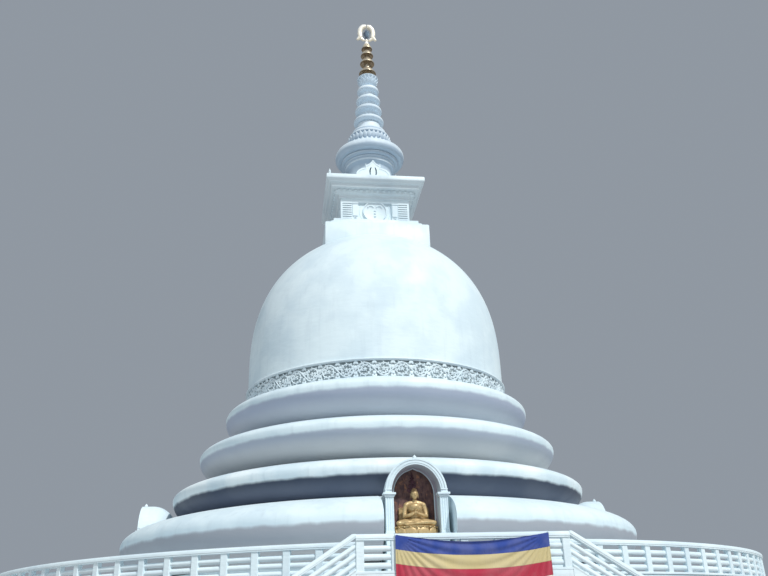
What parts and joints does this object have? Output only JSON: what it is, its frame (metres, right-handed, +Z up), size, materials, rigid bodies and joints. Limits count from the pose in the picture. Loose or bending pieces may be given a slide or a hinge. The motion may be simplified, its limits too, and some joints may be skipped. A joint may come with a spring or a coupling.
{
  "type": "stupa",
  "caption": "White round stupa on a railed terrace with side stairs, swelling base rings, figure niches, dome, square chamber and ringed spire with a gilded crown.",
  "frame": {"origin": "on the stupa's axis at ground level, at the centre of the terrace's underside", "axes": "+Z up along the axis, -Y towards the front with the landing and stair, +X to the right seen from the front"},
  "size_m": [31.52, 33.1403, 35.5],
  "materials": {
    "whitewash": "painted plaster",
    "terrace_render": "painted render",
    "railing_white": "painted precast",
    "niche_white": "painted plaster",
    "gilded_figure": "gold paint",
    "gilding": "polished gilding",
    "jewel": "polished crystal",
    "flag_cloth": "striped cloth"
  },
  "bodies": {
    "root": {"back_crest": "whitewash", "back_figure": "gilded_figure", "back_niche": "niche_white", "base_ring_1": "whitewash", "base_ring_2": "whitewash", "base_ring_3": "whitewash", "base_ring_4": "whitewash", "base_step": "whitewash", "chamber": "whitewash", "corner_spike": "whitewash", "cornice": "whitewash", "crown": "gilding", "crown_jewel": "jewel", "dome": "whitewash", "flag": "flag_cloth", "front_crest": "whitewash", "front_figure": "gilded_figure", "front_niche": "niche_white", "gilded_disc_1": "gilding", "gilded_disc_2": "gilding", "gilded_disc_3": "gilding", "gilded_disc_4": "gilding", "landing": "terrace_render", "landing_railing": "railing_white", "left_crest": "whitewash", "left_figure": "gilded_figure", "left_flight": "terrace_render", "left_niche": "niche_white", "left_stair_railing": "railing_white", "lotus_base": "whitewash", "lotus_collar": "whitewash", "neck": "whitewash", "plinth": "terrace_render", "relief_band": "whitewash", "right_crest": "whitewash", "right_figure": "gilded_figure", "right_flight": "terrace_render", "right_niche": "niche_white", "right_stair_railing": "railing_white", "spire_disc": "whitewash", "spire_ring_1": "whitewash", "spire_ring_2": "whitewash", "spire_ring_3": "whitewash", "spire_ring_4": "whitewash", "square_base": "whitewash", "terrace": "terrace_render", "terrace_railing_1": "railing_white", "terrace_railing_2": "railing_white", "terrace_railing_3": "railing_white", "terrace_railing_4": "railing_white", "terrace_railing_5": "railing_white", "terrace_railing_6": "railing_white", "terrace_railing_7": "railing_white", "terrace_railing_8": "railing_white"}
  },
  "joints": []
}
